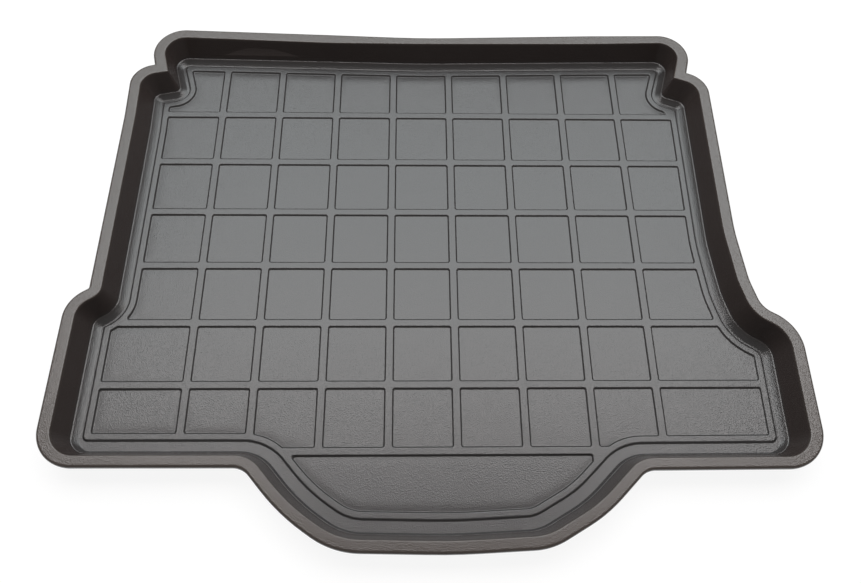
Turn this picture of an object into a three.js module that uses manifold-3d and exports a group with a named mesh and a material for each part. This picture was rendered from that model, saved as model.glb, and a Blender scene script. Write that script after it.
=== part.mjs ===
// Boot liner: a shallow tray formed from one sheet of plastic, for the floor of a car boot.
// Millimetres, +Z up. X runs across the car and +Y towards the back seats.
// The origin is the middle of the overall length and width, on the underside of the floor.
import * as THREE from "three";
import Module from "manifold-3d";

const wasm = await Module();
wasm.setup();

// Driving dimensions

// sheet, floor and wall heights above the underside of the floor
const SHEET = 2.5;
const RIB_RISE = 2.5;
const FLOOR = SHEET;
const RIB_TOP = FLOOR + RIB_RISE;
const HEIGHT = 49;

// wall: it leans outwards from a small ledge above the rounded foot
const LEDGE = 0.6;
const LEDGE_DROP = 0.3;
const FOOT_RISE = 7.5;

// lip round the top, with a rounded outer edge that turns down
const LIP_ROUND = 4;
const LIP_DROP = 8;
const LIP_INNER_ROUND = 1.5;

// On each side: how far the wall leans (run), the width of its lip, the width of the channel
// beside it and how much of that channel its rounded foot takes up.
const LEFT_EDGE = { run: 14.2, lip: 19, channel: 12.8, foot: 10 };
const NEAR_EDGE = { run: 13.3, lip: 16.5, channel: 17.3, foot: 3.5 };
const BULGE_EDGE = { run: 12.3, lip: 17.2, channel: 19.2, foot: 3.5 };
const RIGHT_EDGE = { run: 15, lip: 19, channel: 12.9, foot: 10 };
const NOTCH_TOP_EDGE = { run: 10.5, lip: 19, channel: 13, foot: 9 };
const NOTCH_SIDE_EDGE = { run: 11, lip: 20.7, channel: 14.1, foot: 10 };
const NOTCH_END_EDGE = { run: 15, lip: 20.5, channel: 14, foot: 9 };
const FAR_LEFT_EDGE = { run: 15.3, lip: 18.9, channel: 11.4, foot: 10 };
const FAR_WIDE_EDGE = { run: 9.4, lip: 20.6, channel: 11.4, foot: 10 };
const FAR_MIDDLE_EDGE = { run: 12.3, lip: 14.8, channel: 11.4, foot: 10 };
const FAR_RIGHT_EDGE = { run: 12, lip: 18, channel: 11.4, foot: 10 };

// raised rib that runs round inside the channel, and the hollow under it
const BORDER_TOP = 8.2;
const BORDER_OUTER_SLOPE = 2.6;
const BORDER_SLOPE = 1.75;
const BORDER_FOOT = BORDER_OUTER_SLOPE + BORDER_TOP + BORDER_SLOPE;
const BORDER_HOLLOW_MOUTH = 8.2;
const BORDER_HOLLOW_ROOF = 6;

// raised grid of square pads, and the hollows under its ribs
const PITCH = 100;
const COLUMN_RIBS = 8;
const ROW_RIBS = 7;
const GRID_TOP = 10;
const GRID_SLOPE = 1.6;
const GRID_FOOT = GRID_TOP + 2 * GRID_SLOPE;
const GRID_HOLLOW_MOUTH = 9;
const GRID_HOLLOW_ROOF = 7;

// smallest rounding, and how far a drawn arc may stray from the true one
const LEAST_RADIUS = 1.5;
const ARC_ERROR = 0.3;
const FOOT_STEPS = 4;

// floor between the feet of the walls, and where the ribs' first lines lie from its middle
const FLOOR_WIDTH = 939.5;
const FLOOR_DEPTH = 724;
const FLOOR_MIDDLE = { x: 0.25, y: 11 };
const FIRST_COLUMN_X = -351.2;
const FIRST_ROW_Y = -348.8;
const LEFT = FLOOR_MIDDLE.x - FLOOR_WIDTH / 2;
const RIGHT = FLOOR_MIDDLE.x + FLOOR_WIDTH / 2;
const NEAR = FLOOR_MIDDLE.y - FLOOR_DEPTH / 2;
const FAR = FLOOR_MIDDLE.y + FLOOR_DEPTH / 2;

// ears in front of the wheel arches, and the bulge of the loading edge
const LEFT_EAR = 33;
const RIGHT_EAR = 59.5;
const BULGE_MOUTH = 530;
const BULGE_REACH = 115.5;
const BULGE_X = 30;
const BULGE_END = NEAR - BULGE_REACH;

// Corners of the wall foot, counter-clockwise.
// Each has its place, the radius that rounds it, the kinds of edge before and after it, and the
// largest radius it may grow to where the outline is moved outwards.
function corner(x, y, radius, before, after = before, most = Infinity) {
  return { x, y, radius, before, after, most };
}
const CORNERS = [
  // notch beside the left wheel arch
  corner(LEFT + 21, FAR + 0.5, 20, FAR_LEFT_EDGE, NOTCH_TOP_EDGE),
  corner(LEFT + 42, FAR - 75.5, 10, NOTCH_SIDE_EDGE, NOTCH_END_EDGE),
  corner(LEFT - 2.5, FAR - 84.5, 13, NOTCH_END_EDGE, LEFT_EDGE, 41),
  // left side and the step out to the left ear
  corner(LEFT, FAR - 158, 400, LEFT_EDGE),
  corner(LEFT - 0.5, NEAR + 223, 36, LEFT_EDGE),
  corner(LEFT - LEFT_EAR + 1, NEAR + 203, 18, LEFT_EDGE),
  corner(LEFT - LEFT_EAR, NEAR + 1, 24, LEFT_EDGE, NEAR_EDGE),
  // loading edge, with the bulge that reaches over the sill
  corner(BULGE_X - BULGE_MOUTH / 2, NEAR, 60, NEAR_EDGE, BULGE_EDGE),
  corner(BULGE_X - BULGE_MOUTH / 2 + 60, BULGE_END + 46, 280, BULGE_EDGE),
  corner(BULGE_X - 142, BULGE_END + 3.5, 95, BULGE_EDGE),
  corner(BULGE_X + 8, BULGE_END, 1000, BULGE_EDGE),
  corner(BULGE_X + 130, BULGE_END + 6, 70, BULGE_EDGE),
  corner(BULGE_X + 199, BULGE_END + 45, 200, BULGE_EDGE),
  corner(BULGE_X + BULGE_MOUTH / 2, NEAR - 6, 60, BULGE_EDGE, NEAR_EDGE),
  // right ear, its long flare and the right side
  corner(RIGHT + RIGHT_EAR, NEAR - 5, 26, NEAR_EDGE, RIGHT_EDGE),
  corner(RIGHT + RIGHT_EAR + 3, NEAR + 161, 32, RIGHT_EDGE),
  corner(RIGHT + 15.5, NEAR + 188, 70, RIGHT_EDGE),
  corner(RIGHT + 0.5, NEAR + 251, 150, RIGHT_EDGE),
  corner(RIGHT - 6.5, NEAR + 341, 350, RIGHT_EDGE),
  // notch beside the right wheel arch
  corner(RIGHT, FAR - 95, 15, RIGHT_EDGE, NOTCH_END_EDGE, 45),
  corner(RIGHT - 39.5, FAR - 80, 11, NOTCH_END_EDGE, NOTCH_SIDE_EDGE),
  corner(RIGHT - 15.5, FAR - 0.4, 20, NOTCH_TOP_EDGE, FAR_RIGHT_EDGE),
  // far side, which bows in a little and has a narrower lip in its middle
  corner(300, FAR - 2.7, 1200, FAR_WIDE_EDGE),
  corner(0, FAR - 8.7, 1500, FAR_MIDDLE_EDGE),
  corner(-170, FAR - 5.2, 1200, FAR_WIDE_EDGE),
];

// Outline rings

// Direction of the edge that leaves corner i.
function edgeDirection(corners, i) {
  const a = corners[i];
  const b = corners[(i + 1) % corners.length];
  const length = Math.hypot(b.x - a.x, b.y - a.y);
  return { x: (b.x - a.x) / length, y: (b.y - a.y) / length };
}

// Angle by which the outline turns at corner i, positive where it bulges out.
function turnAt(corners, i) {
  const a = edgeDirection(corners, (i + corners.length - 1) % corners.length);
  const b = edgeDirection(corners, i);
  return Math.atan2(a.x * b.y - a.y * b.x, a.x * b.x + a.y * b.y);
}

// The corners moved outwards: each edge goes straight out by its own distance.
function movedCorners(outset) {
  return CORNERS.map((c, i) => {
    const a = edgeDirection(CORNERS, (i + CORNERS.length - 1) % CORNERS.length);
    const b = edgeDirection(CORNERS, i);
    const [before, after] = [outset(c.before), outset(c.after)];
    const cosine = a.x * b.x + a.y * b.y;
    const alongBefore = (before - cosine * after) / (1 - cosine * cosine);
    const alongAfter = (after - cosine * before) / (1 - cosine * cosine);
    const x = c.x + a.y * alongBefore + b.y * alongAfter;
    const y = c.y - a.x * alongBefore - b.x * alongAfter;
    const grow = Math.sign(turnAt(CORNERS, i)) * ((before + after) / 2);
    return { x, y, radius: Math.min(c.radius + grow, c.most) };
  });
}

// Arc steps at each corner, the same in every ring so that rings can be joined.
const ARC_STEPS = CORNERS.map((c, i) => {
  const turn = Math.abs(turnAt(CORNERS, i));
  const largest = c.radius + c.after.run + c.after.lip;
  const step = 2 * Math.acos(1 - ARC_ERROR / largest);
  return Math.max(2, Math.ceil(turn / step));
});

// Points round one corner: an arc that touches both edges.
function roundedCorner(corners, i) {
  const c = corners[i];
  const turn = turnAt(corners, i);
  const before = edgeDirection(corners, (i + corners.length - 1) % corners.length);
  const side = Math.sign(turn);
  const radius = Math.max(LEAST_RADIUS, c.radius);
  const back = radius * Math.tan(Math.abs(turn) / 2);
  const start = { x: c.x - before.x * back, y: c.y - before.y * back };
  const centre = { x: start.x - before.y * side * radius, y: start.y + before.x * side * radius };
  const first = Math.atan2(start.y - centre.y, start.x - centre.x);
  const points = [];
  for (let k = 0; k <= ARC_STEPS[i]; k++) {
    const angle = first + (turn * k) / ARC_STEPS[i];
    const x = centre.x + radius * Math.cos(angle);
    const y = centre.y + radius * Math.sin(angle);
    points.push({ x, y });
  }
  return points;
}

// A closed ring at one height, moved outwards from the wall foot.
function ring(outset, z) {
  const distance = typeof outset === "number" ? () => outset : outset;
  const corners = movedCorners(distance);
  return corners.flatMap((_, i) => roundedCorner(corners, i)).map((p) => ({ ...p, z }));
}

// Solids

function solidFrom(points, triangles) {
  const vertProperties = new Float32Array(points.flatMap((p) => [p.x, p.y, p.z]));
  const triVerts = new Uint32Array(triangles.flat());
  return new wasm.Manifold(new wasm.Mesh({ numProp: 3, vertProperties, triVerts }));
}

// A solid skinned over rings of equal length, the first one upwards-facing and the last one downwards.
function skinned(rings) {
  const count = rings[0].length;
  const triangles = [];
  for (let r = 0; r + 1 < rings.length; r++) {
    for (let i = 0; i < count; i++) {
      const j = (i + 1) % count;
      const [a, b] = [r * count + i, r * count + j];
      const [c, d] = [a + count, b + count];
      triangles.push([a, c, b], [b, c, d]);
    }
  }
  const flat = (points) => points.map((p) => new THREE.Vector2(p.x, p.y));
  const cap = (points) => THREE.ShapeUtils.triangulateShape(flat(points), []);
  const last = (rings.length - 1) * count;
  triangles.push(...cap(rings[0]));
  triangles.push(...cap(rings[rings.length - 1]).map(([a, b, c]) => [last + a, last + c, last + b]));
  return solidFrom(rings.flat(), triangles);
}

// A block whose four sides slope between a lower and an upper rectangle.
function taperedBlock(low, high) {
  const rectangle = ({ x0, x1, y0, y1, z }) => [
    { x: x0, y: y0, z },
    { x: x1, y: y0, z },
    { x: x1, y: y1, z },
    { x: x0, y: y1, z },
  ];
  return skinned([rectangle(high), rectangle(low)]);
}

// Profile of the formed sheet

// The elliptical foot of the wall, or its back a sheet's thickness behind; share runs from 0 to 1.
function footRing(share, behind) {
  const angle = (share * Math.PI) / 2;
  const rise = FOOT_RISE - LEDGE_DROP;
  const z = FLOOR + rise - (rise + behind) * Math.cos(angle);
  return ring((e) => (e.foot + behind) * Math.sin(angle) - e.foot, z);
}

// Face side, from the top of the border rib outwards to the bottom of the lip.
function faceRings() {
  const rings = [];
  rings.push(ring((e) => -e.channel - BORDER_OUTER_SLOPE, RIB_TOP));
  rings.push(ring((e) => -e.channel, FLOOR));
  for (let k = 0; k <= FOOT_STEPS; k++) rings.push(footRing(k / FOOT_STEPS, 0));
  rings.push(ring(LEDGE, FLOOR + FOOT_RISE));
  rings.push(ring((e) => e.run - LIP_INNER_ROUND * 0.3, HEIGHT - LIP_INNER_ROUND));
  rings.push(ring((e) => e.run + LIP_INNER_ROUND * 0.7, HEIGHT));
  rings.push(ring((e) => e.run + e.lip - LIP_ROUND, HEIGHT));
  rings.push(ring((e) => e.run + e.lip - LIP_ROUND * 0.3, HEIGHT - LIP_ROUND * 0.3));
  rings.push(ring((e) => e.run + e.lip, HEIGHT - LIP_ROUND));
  rings.push(ring((e) => e.run + e.lip, HEIGHT - LIP_DROP));
  return rings;
}

// Back of the sheet, from the bottom of the lip inwards to the hollow under the border rib.
function backRings() {
  const rings = [];
  const slant = (e) => (e.run - LEDGE) / (HEIGHT - FLOOR - FOOT_RISE);
  const onBack = (z) => (e) => LEDGE + slant(e) * (z - FLOOR - FOOT_RISE) + SHEET * Math.hypot(1, slant(e));
  rings.push(ring((e) => e.run + e.lip - SHEET, HEIGHT - LIP_DROP));
  rings.push(ring((e) => e.run + e.lip - SHEET, HEIGHT - LIP_ROUND));
  rings.push(ring((e) => e.run + e.lip - LIP_ROUND, HEIGHT - SHEET));
  rings.push(ring(onBack(HEIGHT - SHEET), HEIGHT - SHEET));
  rings.push(ring(onBack(FOOT_RISE + 1), FOOT_RISE + 1));
  for (const share of [2 / 3, 1 / 3, 0]) rings.push(footRing(share, SHEET));
  const mouth = (BORDER_FOOT - BORDER_HOLLOW_MOUTH) / 2;
  const roof = (BORDER_FOOT - BORDER_HOLLOW_ROOF) / 2;
  rings.push(ring((e) => -e.channel - mouth, 0));
  rings.push(ring((e) => -e.channel - roof, RIB_RISE));
  rings.push(ring((e) => -e.channel - BORDER_FOOT + roof, RIB_RISE));
  rings.push(ring((e) => -e.channel - BORDER_FOOT + mouth, 0));
  return rings;
}

// Pads: the sunk squares between the ribs

const BEYOND = 7 * PITCH;
const ribPlaces = (first, count) => Array.from({ length: count }, (_, i) => first + i * PITCH);
const COLUMN_X = ribPlaces(FIRST_COLUMN_X, COLUMN_RIBS);
const ROW_Y = ribPlaces(FIRST_ROW_Y, ROW_RIBS);

// One sunk cell between ribs centred on the given lines, open upwards past the rib tops.
function cell(x0, x1, y0, y1) {
  const wide = GRID_FOOT / 2;
  const rise = 2 * RIB_RISE;
  const narrow = wide - (GRID_SLOPE * rise) / RIB_RISE;
  const low = { x0: x0 + wide, x1: x1 - wide, y0: y0 + wide, y1: y1 - wide, z: FLOOR };
  const high = { x0: x0 + narrow, x1: x1 - narrow, y0: y0 + narrow, y1: y1 - narrow, z: FLOOR + rise };
  return taperedBlock(low, high);
}

function pads() {
  const xs = [-BEYOND, ...COLUMN_X, BEYOND];
  const ys = [...ROW_Y, BEYOND];
  const cells = [];
  for (let i = 0; i + 1 < xs.length; i++) {
    for (let j = 0; j + 1 < ys.length; j++) cells.push(cell(xs[i], xs[i + 1], ys[j], ys[j + 1]));
  }
  // below the first row's rib: the wide panel in the bulge and the small corner beside it
  const divider = COLUMN_X[COLUMN_RIBS - 2];
  cells.push(cell(-BEYOND, divider, -BEYOND, ROW_Y[0]));
  cells.push(cell(divider, BEYOND, -BEYOND, ROW_Y[0]));
  const rise = 2 * RIB_RISE;
  const grow = (BORDER_SLOPE * rise) / RIB_RISE;
  const field = skinned([
    ring((e) => -e.channel - BORDER_FOOT + grow, FLOOR + rise),
    ring((e) => -e.channel - BORDER_FOOT, FLOOR),
  ]);
  return wasm.Manifold.union(cells).intersect(field);
}

// Hollows under the grid ribs

// One bar along X or along Y that narrows upwards to the roof of the hollow.
function hollow(x0, x1, y0, y1, alongX) {
  const slope = (GRID_HOLLOW_MOUTH - GRID_HOLLOW_ROOF) / 2;
  const [dx, dy] = alongX ? [0, slope] : [slope, 0];
  const high = { x0: x0 + dx, x1: x1 - dx, y0: y0 + dy, y1: y1 - dy, z: RIB_RISE };
  const low = { x0: x0 - dx, x1: x1 + dx, y0: y0 - dy, y1: y1 + dy, z: -RIB_RISE };
  return taperedBlock(low, high);
}

function gridHollows() {
  const half = GRID_HOLLOW_MOUTH / 2;
  const bars = COLUMN_X.map((x, i) => {
    const overPanel = i > 1 && i < COLUMN_RIBS - 2;
    return hollow(x - half, x + half, overPanel ? ROW_Y[0] : -BEYOND, BEYOND, false);
  });
  bars.push(...ROW_Y.map((y) => hollow(-BEYOND, BEYOND, y - half, y + half, true)));
  const middle = (e) => -e.channel - BORDER_FOOT / 2;
  const field = skinned([ring(middle, RIB_TOP), ring(middle, -RIB_TOP)]);
  return wasm.Manifold.union(bars).intersect(field);
}

// The liner

// Moves the grid's own frame to the middle of the overall outline.
function centred(solid) {
  const box = solid.boundingBox();
  const x = (box.min[0] + box.max[0]) / 2;
  const y = (box.min[1] + box.max[1]) / 2;
  return solid.translate([-x, -y, 0]);
}

function meshOf(solid, name, material) {
  const made = solid.getMesh();
  const geometry = new THREE.BufferGeometry();
  geometry.setAttribute("position", new THREE.BufferAttribute(made.vertProperties, 3));
  geometry.setIndex(new THREE.BufferAttribute(made.triVerts, 1));
  const flat = geometry.toNonIndexed();
  flat.computeVertexNormals();
  const mesh = new THREE.Mesh(flat, material);
  mesh.name = name;
  return mesh;
}

const blackPlastic = new THREE.MeshStandardMaterial({ color: 0x26272a, roughness: 0.45, metalness: 0 });
blackPlastic.name = "black_plastic";

const sheet = skinned([...faceRings(), ...backRings()]);
const liner = centred(sheet.subtract(pads()).subtract(gridHollows()));

const part = new THREE.Group();
part.name = "boot_liner_part";
part.add(meshOf(liner, "boot_liner", blackPlastic));

export default part;
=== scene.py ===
import math

import bpy
import numpy as np
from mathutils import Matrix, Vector
from mathutils.geometry import delaunay_2d_cdt


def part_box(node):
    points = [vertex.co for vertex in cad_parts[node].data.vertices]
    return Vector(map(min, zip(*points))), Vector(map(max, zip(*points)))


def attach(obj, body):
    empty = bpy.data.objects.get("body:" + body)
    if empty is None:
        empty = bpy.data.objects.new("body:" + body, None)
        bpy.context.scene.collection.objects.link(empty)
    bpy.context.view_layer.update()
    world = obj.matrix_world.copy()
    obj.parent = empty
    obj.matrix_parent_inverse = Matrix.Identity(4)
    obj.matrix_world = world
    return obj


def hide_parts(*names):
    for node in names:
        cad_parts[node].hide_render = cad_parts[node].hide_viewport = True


# Looks of the boot liner: one fine skin in place of the plain sheet, its grained plastic, a pale
# floor, a large soft light and the camera. Lengths of the sheet are in millimetres, those of the
# stage in metres.

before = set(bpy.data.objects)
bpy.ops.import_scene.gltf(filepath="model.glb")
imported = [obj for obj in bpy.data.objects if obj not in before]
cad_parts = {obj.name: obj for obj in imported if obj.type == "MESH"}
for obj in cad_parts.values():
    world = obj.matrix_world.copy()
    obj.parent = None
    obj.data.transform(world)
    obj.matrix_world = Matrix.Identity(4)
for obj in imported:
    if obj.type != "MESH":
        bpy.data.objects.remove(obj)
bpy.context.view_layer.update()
NODE = "boot_liner"
BODY = "root"
MM = 0.001
GRID_MIDDLE = (-15.29, 44.56)

# Sheet, floor, wall and lip
SHEET = 2.5
RIB_RISE = 2.5
FLOOR = SHEET
RIB_TOP = FLOOR + RIB_RISE
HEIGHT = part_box(NODE)[1].z / MM
CHANNEL_ROUND = 1.2
LEDGE = 1.0
LEDGE_FALL = 0.3
LEDGE_TILT = 0.1
LEDGE_ROUND = 0.25
LIP_ROUND = 4
LIP_DROP = 8
LIP_INNER_ROUND = 2.0
LIP_EDGE_ROUND = 0.7

# Foot of the wall, up to the ledge: one part of a rounding to so many parts of a chamfer
FOOT_RISE = 7.5
FOOT_TOP = FOOT_RISE - LEDGE_FALL
FOOT_CHAMFER = 5
FOOT_STEPS = 10
FOOT_BACK_STEPS = 7

# For each kind of edge: how far the wall leans, widths of the lip and of the channel, and how much
# of the channel the rounded foot of the wall takes up
LEFT_EDGE = {"run": 14.2, "lip": 19, "channel": 12.8, "foot": 10}
NEAR_EDGE = {"run": 13.3, "lip": 16.5, "channel": 17.3, "foot": 3.5}
BULGE_EDGE = {"run": 12.3, "lip": 17.2, "channel": 19.2, "foot": 3.5}
RIGHT_EDGE = {"run": 15, "lip": 19, "channel": 12.9, "foot": 10}
NOTCH_TOP_EDGE = {"run": 10.5, "lip": 19, "channel": 13, "foot": 9}
NOTCH_SIDE_EDGE = {"run": 11, "lip": 20.7, "channel": 14.1, "foot": 10}
NOTCH_END_EDGE = {"run": 15, "lip": 20.5, "channel": 14, "foot": 9}
FAR_LEFT_EDGE = {"run": 15.3, "lip": 18.9, "channel": 11.4, "foot": 10}
FAR_WIDE_EDGE = {"run": 9.4, "lip": 20.6, "channel": 11.4, "foot": 10}
FAR_MIDDLE_EDGE = {"run": 12.3, "lip": 14.8, "channel": 11.4, "foot": 10}
FAR_RIGHT_EDGE = {"run": 12, "lip": 18, "channel": 11.4, "foot": 10}

# Border rib and pad grid
BORDER_OUTER_SLOPE = 2.6
BORDER_OUTER_ROUND = 2.2
BORDER_SLOPE = 1.75
BORDER_FOOT = 12.55
BORDER_HOLLOW_MOUTH = 8.2
BORDER_HOLLOW_ROOF = 6
BORDER_HOLLOW_ROUND = 0.6
PITCH = 100
COLUMN_RIBS = 8
ROW_RIBS = 7
GRID_SLOPE = 1.6
GRID_FOOT = 13.2
GRID_HOLLOW_MOUTH = 9
GRID_HOLLOW_ROOF = 7
GRID_HOLLOW_EASE = 0.15
FIRST_COLUMN_X = -351.2
FIRST_ROW_Y = -348.8

# Side of a rib towards a pad: its width, its two roundings and the flat strips before and after
RIB_SIDE = 2.0
RIB_TOP_ROUND = 1.2
RIB_FOOT_ROUND = 1.1
RIB_TOP_STRIP = 0.75
RIB_FOOT_STRIP = 0.8

# Pads, and the bosses that they make underneath: levels as shares of the rib's height, radii of
# the corners at the first and the last level
PAD_FALLS = [0, 0.02, 0.06, 0.14, 0.26, 0.42, 0.58, 0.72, 0.83, 0.91, 0.96, 0.99, 1]
PAD_RADII = (4, 2)
BOSS_LEVELS = [1, 0.9, 0.5, 0.1, 0]
BOSS_RADII = (2, 3)
PAD_CORNER_STEPS = 5
LEAST_PAD_AREA = 100

# The pads sink a little beside the border rib, but not in the near right part: from these places
# the sinking grows to its full depth over the fades, to the left and to the far side
DROOP = 0.65
DROOP_REACH = 12
DROOP_LEFT_OF = 300
DROOP_LEFT_FADE = 60
DROOP_BEYOND = 230
DROOP_BEYOND_FADE = 30

# Corners of the wall foot from the middle of the grid, counter-clockwise:
# place, radius, the kinds of edge before and after, and the most its radius grows to outwards
CORNERS = [
    (-448.5, 373.5, 20, FAR_LEFT_EDGE, NOTCH_TOP_EDGE),
    (-427.5, 297.5, 10, NOTCH_SIDE_EDGE, NOTCH_END_EDGE),
    (-472, 288.5, 13, NOTCH_END_EDGE, LEFT_EDGE, 41),
    (-469.5, 215, 400, LEFT_EDGE, LEFT_EDGE),
    (-470, -128, 36, LEFT_EDGE, LEFT_EDGE),
    (-501.5, -148, 18, LEFT_EDGE, LEFT_EDGE),
    (-502.5, -350, 24, LEFT_EDGE, NEAR_EDGE),
    (-235, -351, 60, NEAR_EDGE, BULGE_EDGE),
    (-175, -420.5, 280, BULGE_EDGE, BULGE_EDGE),
    (-112, -463, 95, BULGE_EDGE, BULGE_EDGE),
    (38, -466.5, 1000, BULGE_EDGE, BULGE_EDGE),
    (160, -460.5, 70, BULGE_EDGE, BULGE_EDGE),
    (229, -421.5, 200, BULGE_EDGE, BULGE_EDGE),
    (295, -357, 60, BULGE_EDGE, NEAR_EDGE),
    (529.5, -356, 26, NEAR_EDGE, RIGHT_EDGE),
    (532.5, -190, 32, RIGHT_EDGE, RIGHT_EDGE),
    (485.5, -163, 70, RIGHT_EDGE, RIGHT_EDGE),
    (470.5, -100, 150, RIGHT_EDGE, RIGHT_EDGE),
    (463.5, -10, 350, RIGHT_EDGE, RIGHT_EDGE),
    (470, 278, 15, RIGHT_EDGE, NOTCH_END_EDGE, 45),
    (430.5, 293, 11, NOTCH_END_EDGE, NOTCH_SIDE_EDGE),
    (454.5, 372.6, 20, NOTCH_TOP_EDGE, FAR_RIGHT_EDGE),
    (300, 370.3, 1200, FAR_WIDE_EDGE, FAR_WIDE_EDGE),
    (0, 364.3, 1500, FAR_MIDDLE_EDGE, FAR_MIDDLE_EDGE),
    (-170, 367.8, 1200, FAR_WIDE_EDGE, FAR_WIDE_EDGE),
]
LEAST_RADIUS = 1.5
ARC_STEP = math.radians(3)
LEAST_ARC_STEPS = 3
STRAIGHT_COSINE = 0.99999
HOLD = 0.4


# Outline rings

def unit(vector):
    return vector / np.hypot(*vector)


def left_of(direction):
    return np.array([-direction[1], direction[0]])


def directions(points):
    """Direction of the edge that arrives at each point, and of the one that leaves it."""
    points = np.asarray(points, float)
    after = np.array([unit(d) for d in np.roll(points, -1, axis=0) - points])
    return np.roll(after, 1, axis=0), after


def turn_between(a, b):
    return math.atan2(a[0] * b[1] - a[1] * b[0], a @ b)


def mitre(a, b, before, after):
    """Step from a corner to where its two edges meet once each has moved to its right."""
    cosine = a @ b
    if cosine > STRAIGHT_COSINE:
        return -left_of(a) * (before + after) / 2
    normal_a, normal_b = -left_of(a), -left_of(b)
    share = 1 - cosine * cosine
    return ((before - cosine * after) * normal_a + (after - cosine * before) * normal_b) / share


def arc(corner, a, b, radius, steps):
    """Points round a corner between the edge directions a and b."""
    turn = turn_between(a, b)
    side = math.copysign(1, turn)
    start = corner - a * radius * math.tan(abs(turn) / 2)
    centre = start + left_of(a) * side * radius
    first = math.atan2(*(start - centre)[::-1])
    angles = first + turn * np.arange(steps + 1) / steps
    return centre + radius * np.stack([np.cos(angles), np.sin(angles)], axis=1)


PLACES = np.array([c[:2] for c in CORNERS], float)
ARRIVING, LEAVING = directions(PLACES)
TURNS = [turn_between(a, b) for a, b in zip(ARRIVING, LEAVING)]


def moved_corners(outset):
    """Place and radius of each corner once every edge has moved out by outset(edge)."""
    moved = []
    for place, turn, a, b, row in zip(PLACES, TURNS, ARRIVING, LEAVING, CORNERS):
        before, after = outset(row[3]), outset(row[4])
        radius = row[2] + math.copysign(1, turn) * (before + after) / 2
        moved.append((place + mitre(a, b, before, after), min(radius, *row[5:], math.inf)))
    return moved


def corner_arcs(outset, coarser=1):
    """The moved corners and the arc at each; its count of steps doesn't depend on the outset."""
    moved = moved_corners(outset)
    arriving, leaving = directions([place for place, _ in moved])
    arcs = []
    for (place, radius), turn, a, b in zip(moved, TURNS, arriving, leaving):
        steps = max(LEAST_ARC_STEPS, math.ceil(abs(turn) / ARC_STEP / coarser))
        arcs.append(arc(place, a, b, max(LEAST_RADIUS, radius), steps))
    return moved, arcs


def ring(outset):
    """A closed ring of points; rings have equal counts, so that they can be joined."""
    return np.concatenate(corner_arcs(outset)[1])


# Profiles

def rounded_line(points):
    """A line of (outset, height, radius, steps) points with its corners rounded and held flat."""
    made = [np.array(points[0][:2], float)]
    for before, here, after in zip(points, points[1:], points[2:]):
        corner = np.array(here[:2], float)
        if not here[2]:
            made.append(corner)
            continue
        a = unit(corner - np.array(before[:2], float))
        b = unit(np.array(after[:2], float) - corner)
        rounding = arc(corner, a, b, here[2], here[3])
        made += [rounding[0] - a * HOLD, *rounding, rounding[-1] + b * HOLD]
    made.append(np.array(points[-1][:2], float))
    return made


def foot_arc(foot, behind, steps):
    """The foot of the wall, between a rounding and a chamfer, as points from the floor upwards."""
    made = []
    parts = 1 + FOOT_CHAMFER
    for k in range(steps + 1):
        share, angle = k / steps, math.pi / 2 * k / steps
        along = (math.sin(angle) + FOOT_CHAMFER * share) / parts
        below = (math.cos(angle) + FOOT_CHAMFER - FOOT_CHAMFER * share) / parts
        outset = (foot + behind) * along - foot
        made.append((outset, FLOOR + FOOT_TOP - (FOOT_TOP + behind) * below, 0, 0))
    return made


def wall_profile(edge):
    """The visible side from the top of the border rib out to the lip, and the hidden side back."""
    channel, run, foot = -edge["channel"], edge["run"], edge["foot"]
    lip = run + edge["lip"]
    line = [
        (channel - BORDER_FOOT / 2, RIB_TOP, 0, 0),
        (channel - BORDER_OUTER_SLOPE, RIB_TOP, BORDER_OUTER_ROUND, 6),
        (channel, FLOOR, CHANNEL_ROUND, 5),
        (-foot - HOLD / 2, FLOOR, 0, 0),
        *foot_arc(foot, 0, FOOT_STEPS),
        (LEDGE, FLOOR + FOOT_RISE + LEDGE_TILT, LEDGE_ROUND, 2),
        (run, HEIGHT, LIP_INNER_ROUND, 6),
        (lip, HEIGHT, LIP_ROUND, 9),
        (lip, HEIGHT - LIP_DROP, LIP_EDGE_ROUND, 3),
        (lip - SHEET, HEIGHT - LIP_DROP, LIP_EDGE_ROUND, 3),
        (lip - SHEET, HEIGHT - SHEET, LIP_ROUND - SHEET, 4),
    ]
    slant = (run - LEDGE) / (HEIGHT - FLOOR - FOOT_RISE)
    back = run + SHEET * math.hypot(1, slant)
    line.append((back - slant * SHEET, HEIGHT - SHEET, LIP_INNER_ROUND + SHEET, 5))
    line += foot_arc(foot, SHEET, FOOT_BACK_STEPS)[-2::-1]
    line += [
        (-foot - HOLD / 2, 0, 0, 0),
        (channel - (BORDER_FOOT - BORDER_HOLLOW_MOUTH) / 2, 0, BORDER_HOLLOW_ROUND, 3),
        (channel - (BORDER_FOOT - BORDER_HOLLOW_ROOF) / 2, RIB_RISE, BORDER_HOLLOW_ROUND, 3),
        (channel - BORDER_FOOT / 2, RIB_RISE, 0, 0),
    ]
    return rounded_line(line)


def sheet_rings():
    """Rings of the whole sheet outside the pad grid, face first and then back."""
    profiles = {}
    for row in CORNERS:
        for edge in row[3:5]:
            profiles[id(edge)] = wall_profile(edge)
    count = len(next(iter(profiles.values())))
    rings = []
    for k in range(count):
        height = profiles[id(LEFT_EDGE)][k][1]
        flat = ring(lambda edge: profiles[id(edge)][k][0])
        rings.append(at_height(flat, height))
    return rings


# Pads

BEYOND = 7 * PITCH
COLUMN_X = [FIRST_COLUMN_X + i * PITCH for i in range(COLUMN_RIBS)]
ROW_Y = [FIRST_ROW_Y + i * PITCH for i in range(ROW_RIBS)]
ARC_CORNER = 12
FIELD_COARSER = 1.5
CLEAR_OF_CORNER = 7
LATTICE = 6


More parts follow.
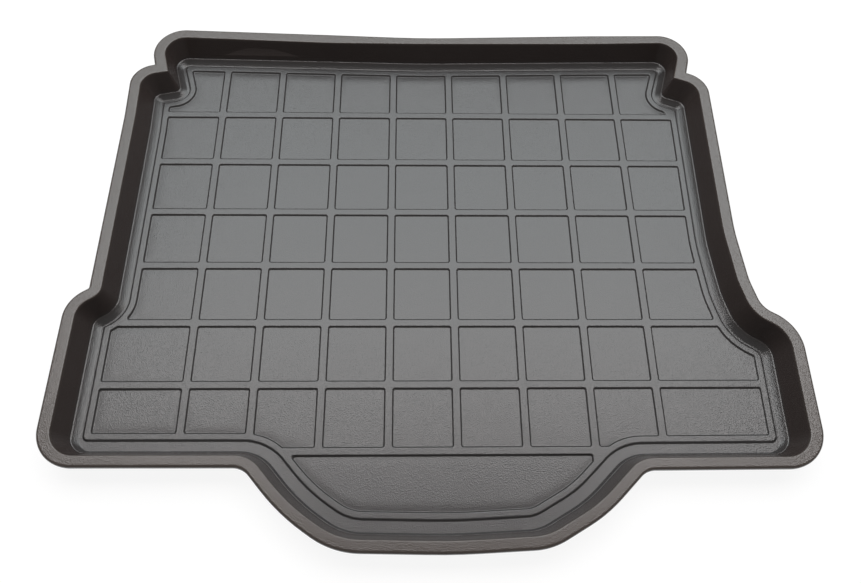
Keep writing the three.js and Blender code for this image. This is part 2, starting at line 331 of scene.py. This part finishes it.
def cells():
    """Rectangles between the centre lines of the ribs."""
    xs = [-BEYOND, *COLUMN_X, BEYOND]
    ys = [*ROW_Y, BEYOND]
    made = [(x0, x1, y0, y1) for x0, x1 in zip(xs, xs[1:]) for y0, y1 in zip(ys, ys[1:])]
    divider = COLUMN_X[-2]
    made.append((-BEYOND, divider, -BEYOND, FIRST_ROW_Y))
    made.append((divider, BEYOND, -BEYOND, FIRST_ROW_Y))
    return made


def field(inset):
    """Outline inside the border rib as (point, is a corner, kind of the edge that follows)."""
    made = []
    moved, arcs = corner_arcs(lambda edge: -edge["channel"] - inset, FIELD_COARSER)
    for (place, radius), turn, rounding in zip(moved, TURNS, arcs):
        if turn > 0 and radius < ARC_CORNER:
            made.append((place, True, "border"))
        else:
            made += [(point, False, "border") for point in rounding]
    return made


def cut(polygon, axis, limit, side):
    """The part of a polygon where side times the coordinate is at most side times the limit."""
    made = []
    for (a, corner, kind), (b, _, _) in zip(polygon, polygon[1:] + polygon[:1]):
        inside_a = side * (a[axis] - limit) <= 0
        inside_b = side * (b[axis] - limit) <= 0
        if inside_a:
            made.append((a, corner, kind))
        if inside_a != inside_b:
            crossing = a + (b - a) * (limit - a[axis]) / (b[axis] - a[axis])
            made.append((crossing, True, "grid" if inside_a else kind))
    return made


def area(points):
    x, y = np.asarray(points, float).T
    return 0.5 * float(np.sum(x * np.roll(y, -1) - np.roll(x, -1) * y))


def cleaned(polygon):
    """Drops points of the border that crowd a corner, so that there is room for its rounding."""
    corners = [i for i, (_, corner, _) in enumerate(polygon) if corner]
    fixed = [i for i in corners if "grid" in (polygon[i][2], polygon[i - 1][2])]
    made = []
    for i, (point, corner, kind) in enumerate(polygon):
        others = fixed if corner else corners
        near = min((np.hypot(*(point - polygon[j][0])) for j in others), default=math.inf)
        if i in fixed or near > CLEAR_OF_CORNER:
            made.append((point, corner, kind))
    return made


def pad_outlines(inset, half_rib):
    """The outline of each pad, cut out of the field by the centre lines of the ribs."""
    outline = field(inset)
    made = []
    for x0, x1, y0, y1 in cells():
        polygon = outline
        across = [(0, x0 + half_rib, -1), (0, x1 - half_rib, 1)]
        bounds = [*across, (1, y0 + half_rib, -1), (1, y1 - half_rib, 1)]
        for axis, limit, side in bounds:
            polygon = cut(polygon, axis, limit, side) if polygon else []
        if len(polygon) > 2 and area([p for p, _, _ in polygon]) > LEAST_PAD_AREA:
            made.append(cleaned(polygon))
    return made


def inset_outline(polygon, distance, radius, steps):
    """The outline moved inwards by a distance, with each corner rounded."""
    arriving, leaving = directions([p for p, _, _ in polygon])
    made = []
    for i, (point, corner, _) in enumerate(polygon):
        a, b = arriving[i], leaving[i]
        place = point + mitre(a, b, -distance, -distance)
        if corner:
            made.append(arc(place, a, b, radius, steps))
        else:
            made.append(place[None])
    return np.concatenate(made)


def slope_levels(line, heights):
    """Insets at which a falling line of (inset, height) points reaches the given heights."""
    points = np.array(line)
    return np.interp(-np.asarray(heights), -points[:, 1], points[:, 0])


def rib_side():
    """Side of a rib, from its flat top down to the pad, as (inset, height) points."""
    flat = 3
    line = rounded_line([
        (-flat, RIB_TOP, 0, 0),
        (0, RIB_TOP, RIB_TOP_ROUND, 6),
        (RIB_SIDE, FLOOR, RIB_FOOT_ROUND, 6),
        (RIB_SIDE + flat, FLOOR, 0, 0),
    ])
    return [p for p in line if FLOOR < p[1] < RIB_TOP]


def distance_to(loop, points):
    """Distance of each point to a closed line."""
    along = np.roll(loop, -1, axis=0) - loop
    away = points[:, None] - loop
    share = np.clip((away * along).sum(axis=2) / (along ** 2).sum(axis=1), 0, 1)
    return np.hypot(*np.moveaxis(away - share[..., None] * along, 2, 0)).min(axis=1)


def droop(points):
    """How far each point of a pad's floor sinks, for its distance to the border rib."""
    distance = distance_to(np.array([p for p, _, _ in field(BORDER_FOOT)]), points)
    left = np.clip((DROOP_LEFT_OF - points[:, 0]) / DROOP_LEFT_FADE, 0, 1)
    far = np.clip((points[:, 1] - DROOP_BEYOND) / DROOP_BEYOND_FADE, 0, 1)
    return DROOP * np.maximum(left, far) * np.clip(1 - distance / DROOP_REACH, 0, 1) ** 2


def lattice(outline):
    """Evenly spaced points inside an outline."""
    (x0, y0), (x1, y1) = outline.min(axis=0), outline.max(axis=0)
    columns = np.arange(x0 + LATTICE / 2, x1, LATTICE)
    rows = np.arange(y0 + LATTICE / 2, y1, LATTICE)
    points = np.stack(np.meshgrid(columns, rows), axis=-1).reshape(-1, 2)
    edges = np.stack([outline, np.roll(outline, -1, axis=0)], axis=1)
    points = points[inside_loops(points, edges)]
    return points[distance_to(outline, points) > LATTICE / 2]


# Mesh

class Skin:
    """Vertices and faces of one mesh, in millimetres from the middle of the grid."""

    def __init__(self):
        self.vertices = []
        self.faces = []

    def add_ring(self, points):
        start = len(self.vertices)
        self.vertices += [tuple(p) for p in points]
        return list(range(start, len(self.vertices)))

    def join(self, inner, outer):
        """Quads between two counter-clockwise rings, facing up where outer lies outside."""
        for i in range(len(inner)):
            j = (i + 1) % len(inner)
            self.faces.append((inner[i], outer[i], outer[j], inner[j]))

    def fill(self, outer, holes, up, inner=()):
        """Sheet of triangles between an outer ring and the holes in it, through inner points."""
        order = [*outer, *(v for hole in holes for v in hole), *inner]
        flat = np.array([self.vertices[v][:2] for v in order])
        edges, start = [], 0
        for loop in (outer, *holes):
            edges += [(start + i, start + (i + 1) % len(loop)) for i in range(len(loop))]
            start += len(loop)
        result = delaunay_2d_cdt([Vector(p) for p in flat], edges, [], 0, 1e-6, True)
        origin = np.array([ids[0] for ids in result[3]])
        triangles = origin[np.array(result[2])]
        kept = inside_loops(flat[triangles].mean(axis=1), flat[np.array(edges)])
        for face in triangles[kept]:
            face = [order[i] for i in face]
            points = [self.vertices[v][:2] for v in face]
            self.faces.append(face if (area(points) > 0) == up else face[::-1])


def inside_loops(points, edges):
    """Which points lie inside an odd number of the closed loops that the edges form."""
    x, y = points[:, 0, None], points[:, 1, None]
    (x0, y0), (x1, y1) = edges[:, 0].T, edges[:, 1].T
    spans = (y0 > y) != (y1 > y)
    rise = np.where(y1 == y0, 1, y1 - y0)
    crossed = spans & (x < x0 + (y - y0) * (x1 - x0) / rise)
    return crossed.sum(axis=1) % 2 == 1


def at_height(points, height):
    return np.column_stack([points, np.broadcast_to(height, len(points))])


def add_pads(skin, outlines, side, heights, radii, up):
    """Sunk pads (up) or the bosses that they make underneath: rings and a flat floor each."""
    openings = []
    insets = slope_levels(side, heights)
    for polygon in outlines:
        points = inset_outline(polygon, insets[0] - HOLD, radii[0] + HOLD, PAD_CORNER_STEPS)
        rings = [skin.add_ring(at_height(points, heights[0]))]
        last = len(heights) - 1
        for k, height in enumerate(heights):
            radius = radii[0] + (radii[1] - radii[0]) * k / last
            points = inset_outline(polygon, insets[k], radius, PAD_CORNER_STEPS)
            sunk = droop(points) * k / last if up else 0
            rings.append(skin.add_ring(at_height(points, height - sunk)))
        points = inset_outline(polygon, insets[-1] + HOLD, radii[1], PAD_CORNER_STEPS)
        sunk = droop(points) if up else 0
        rings.append(skin.add_ring(at_height(points, heights[-1] - sunk)))
        for outer, inner in zip(rings, rings[1:]):
            if up:
                skin.join(inner, outer)
            else:
                skin.join(outer, inner)
        if np.any(sunk):
            inside = lattice(points)
            middle = skin.add_ring(at_height(inside, heights[-1] - droop(inside)))
            skin.fill(rings[-1], [], True, middle)
        else:
            skin.faces.append(tuple(rings[-1] if up else rings[-1][::-1]))
        openings.append(rings[0])
    return openings


def liner_mesh():
    """The whole sheet: border and walls as rings, then the pads above and the bosses below."""
    skin = Skin()
    rings = [skin.add_ring(points) for points in sheet_rings()]
    for inner, outer in zip(rings, rings[1:]):
        skin.join(inner, outer)

    pads = pad_outlines(BORDER_FOOT - BORDER_SLOPE, GRID_FOOT / 2 - GRID_SLOPE)
    side = [(-RIB_TOP_STRIP, RIB_TOP), *rib_side(), (RIB_SIDE + RIB_FOOT_STRIP, FLOOR)]
    heights = RIB_TOP - RIB_RISE * np.array(PAD_FALLS)
    skin.fill(rings[0], add_pads(skin, pads, side, heights, PAD_RADII, True), True)

    bosses = pad_outlines((BORDER_FOOT + BORDER_HOLLOW_ROOF) / 2, GRID_HOLLOW_ROOF / 2)
    slope = (GRID_HOLLOW_MOUTH - GRID_HOLLOW_ROOF) / 2
    insets = [0, GRID_HOLLOW_EASE, slope - GRID_HOLLOW_EASE, slope]
    side = [(inset, RIB_RISE * share) for inset, share in zip(insets, (1, 0.9, 0.1, 0))]
    heights = RIB_RISE * np.array(BOSS_LEVELS)
    skin.fill(rings[-1], add_pads(skin, bosses, side, heights, BOSS_RADII, False), False)
    return skin


def shown(skin, name, material):
    """The skin as an object in the frame of the part."""
    points = (np.array(skin.vertices) + [*GRID_MIDDLE, 0]) * MM
    mesh = bpy.data.meshes.new(name)
    mesh.from_pydata(points.tolist(), [], skin.faces)
    mesh.validate()
    mesh.shade_smooth()
    mesh.materials.append(material)
    piece = bpy.data.objects.new(name, mesh)
    bpy.context.scene.collection.objects.link(piece)
    return piece


# Materials

def node_tree(name):
    material = bpy.data.materials.new(name)
    material.use_nodes = True
    nodes = material.node_tree.nodes
    nodes.clear()
    return material, nodes, material.node_tree.links


def add(nodes, kind, **values):
    """A node with its settings and, after in_, the values of its inputs."""
    node = nodes.new(kind)
    for key, value in values.items():
        if key.startswith("in_"):
            node.inputs[key[3:].replace("_", " ")].default_value = value
        else:
            setattr(node, key, value)
    return node


def black_plastic():
    material, nodes, links = node_tree("black_plastic_skin")
    output = add(nodes, "ShaderNodeOutputMaterial")
    shader = add(nodes, "ShaderNodeBsdfPrincipled", in_IOR=1.53)
    links.new(shader.outputs["BSDF"], output.inputs["Surface"])
    place = add(nodes, "ShaderNodeTexCoord").outputs["Object"]

    def texture(kind, **values):
        """A texture laid in the part's own space."""
        node = add(nodes, kind, **values)
        links.new(place, node.inputs["Vector"])
        return node

    # colour, by share of the height: nearly neutral on the floor, brownish on the wall and the lip.
    # The sheet is one plastic, so the change of colour from floor to wall and the lighter lip are
    # painted light, standing in for how the light falls on each part
    axes = add(nodes, "ShaderNodeSeparateXYZ")
    links.new(place, axes.inputs[0])
    height = add(nodes, "ShaderNodeMapRange", in_From_Min=0.0, in_From_Max=HEIGHT * MM)
    links.new(axes.outputs["Z"], height.inputs["Value"])
    ramp = add(nodes, "ShaderNodeValToRGB")
    # painted light: the lip is given a lighter colour than the floor and the wall, as if lit more
    floor, wall, lip = (0.033, 0.031, 0.031), (0.036, 0.028, 0.026), (0.052, 0.042, 0.037)
    painted_light_stops = [(0.0, floor), (0.14, floor), (0.3, wall), (0.9, wall), (1.0, lip)]
    ramp.color_ramp.elements.remove(ramp.color_ramp.elements[1])
    ramp.color_ramp.elements[0].position = painted_light_stops[0][0]
    ramp.color_ramp.elements[0].color = (*painted_light_stops[0][1], 1)
    for position, colour in painted_light_stops[1:]:
        ramp.color_ramp.elements.new(position).color = (*colour, 1)
    links.new(height.outputs["Result"], ramp.inputs["Fac"])
    links.new(ramp.outputs["Color"], shader.inputs["Base Color"])

    # gloss: a little uneven over the sheet
    patches = texture("ShaderNodeTexNoise", in_Scale=9.0, in_Detail=4.0)
    gloss = add(
        nodes, "ShaderNodeMapRange", in_From_Min=0.3, in_From_Max=0.7, in_To_Min=0.11, in_To_Max=0.16,
    )
    links.new(patches.outputs["Fac"], gloss.inputs["Value"])
    links.new(gloss.outputs["Result"], shader.inputs["Roughness"])

    # relief: leather-like grain, a finer grain on it and the slow waves of a formed sheet
    grain = texture(
        "ShaderNodeTexVoronoi", in_Scale=700.0, feature="SMOOTH_F1", in_Smoothness=0.6,
    ).outputs["Distance"]
    fine = texture("ShaderNodeTexNoise", in_Scale=1500.0, in_Detail=3.0).outputs["Fac"]
    waves = texture("ShaderNodeTexNoise", in_Scale=14.0, in_Detail=1.0).outputs["Fac"]
    bump = None
    for relief, distance in ((waves, 0.0003), (grain, 0.00026), (fine, 0.00005)):
        layer = add(nodes, "ShaderNodeBump", in_Distance=distance, in_Strength=1.0)
        links.new(relief, layer.inputs["Height"])
        if bump:
            links.new(bump.outputs["Normal"], layer.inputs["Normal"])
        bump = layer
    links.new(bump.outputs["Normal"], shader.inputs["Normal"])
    return material


def seen_rays(nodes, links):
    """1 for rays from the camera, from gloss and through glass, which see the white background."""
    path = add(nodes, "ShaderNodeLightPath")
    total = path.outputs["Is Camera Ray"]
    for name in ("Is Glossy Ray", "Is Transmission Ray"):
        either = add(nodes, "ShaderNodeMath", operation="MAXIMUM")
        links.new(total, either.inputs[0])
        links.new(path.outputs[name], either.inputs[1])
        total = either.outputs[0]
    return total


def pale_floor():
    """A pale floor that looks white and keeps a soft shadow."""
    material, nodes, links = node_tree("pale_floor")
    output = add(nodes, "ShaderNodeOutputMaterial")
    matt = add(nodes, "ShaderNodeBsdfDiffuse", in_Color=(0.8, 0.8, 0.8, 1))
    white = add(nodes, "ShaderNodeEmission", in_Color=(1, 1, 1, 1), in_Strength=1.05)
    share = add(nodes, "ShaderNodeMath", operation="MULTIPLY")
    share.inputs[1].default_value = 0.85
    links.new(seen_rays(nodes, links), share.inputs[0])
    mix = add(nodes, "ShaderNodeMixShader")
    links.new(share.outputs[0], mix.inputs[0])
    links.new(matt.outputs[0], mix.inputs[1])
    links.new(white.outputs[0], mix.inputs[2])
    links.new(mix.outputs[0], output.inputs["Surface"])
    return material


# Stage

def make_floor():
    """A wide pale square, a little below the part."""
    half, gap = 12.0, 0.0005
    mesh = bpy.data.meshes.new("floor")
    square = [(-half, -half, 0), (half, -half, 0), (half, half, 0), (-half, half, 0)]
    mesh.from_pydata(square, [], [(0, 1, 2, 3)])
    mesh.materials.append(pale_floor())
    floor = bpy.data.objects.new("floor", mesh)
    floor.location.z = -gap
    bpy.context.scene.collection.objects.link(floor)


def make_world():
    """White to the camera, dim to everything else."""
    world = bpy.data.worlds.new("studio")
    world.use_nodes = True
    nodes, links = world.node_tree.nodes, world.node_tree.links
    nodes.clear()
    output = add(nodes, "ShaderNodeOutputWorld")
    dim = add(nodes, "ShaderNodeBackground", in_Color=(1, 0.97, 0.94, 1), in_Strength=0.22)
    white = add(nodes, "ShaderNodeBackground", in_Color=(1, 1, 1, 1), in_Strength=1.0)
    mix = add(nodes, "ShaderNodeMixShader")
    links.new(add(nodes, "ShaderNodeLightPath").outputs["Is Camera Ray"], mix.inputs[0])
    links.new(dim.outputs[0], mix.inputs[1])
    links.new(white.outputs[0], mix.inputs[2])
    links.new(mix.outputs[0], output.inputs["Surface"])
    bpy.context.scene.world = world


def make_light():
    """One large soft light overhead, in strips that grow dimmer towards the far side."""
    width, height, radiance = 4.4, 2.4, 3.8
    shift, angle = 0.13, math.radians(-1)
    # near and far edge, share of the radiance, colour
    strips = [
        (0.07, 0.55, 1.26, (1.0, 0.965, 0.96)),
        (0.55, 1.1, 1.09, (0.98, 0.99, 0.995)),
        (1.1, 1.7, 0.99, (0.945, 1.0, 1.015)),
        (1.7, 2.3, 0.92, (0.935, 1.0, 1.025)),
        (2.3, 3.3, 0.83, (0.945, 0.995, 1.01)),
    ]
    for number, (near, far, share, colour) in enumerate(strips):
        lamp = bpy.data.lights.new(f"strip_{number}", "AREA")
        lamp.shape = "RECTANGLE"
        lamp.size = width
        lamp.size_y = far - near
        lamp.color = colour
        lamp.energy = radiance * share * math.pi * width * (far - near)
        light = bpy.data.objects.new(f"strip_{number}", lamp)
        middle = (near + far) / 2
        x = shift * math.cos(angle) - middle * math.sin(angle)
        y = shift * math.sin(angle) + middle * math.cos(angle)
        light.location = (x, y, height)
        light.rotation_euler = (0, 0, angle)
        light.visible_camera = False
        bpy.context.scene.collection.objects.link(light)


def make_camera():
    """The photograph's place and direction."""
    camera = bpy.data.cameras.new("camera")
    camera.sensor_width = 36
    camera.lens = 31.884
    camera.clip_end = 50
    eye = bpy.data.objects.new("camera", camera)
    eye.location = (-0.03231, -0.57117, 1.08972)
    eye.rotation_euler = [math.radians(angle) for angle in (25.6479, -1.2673, -0.5657)]
    bpy.context.scene.collection.objects.link(eye)
    bpy.context.scene.camera = eye


make_camera()
make_world()
make_light()
make_floor()
liner = shown(liner_mesh(), "boot_liner_skin", black_plastic())
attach(liner, BODY)
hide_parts(NODE)
bpy.context.scene.view_settings.view_transform = "Standard"
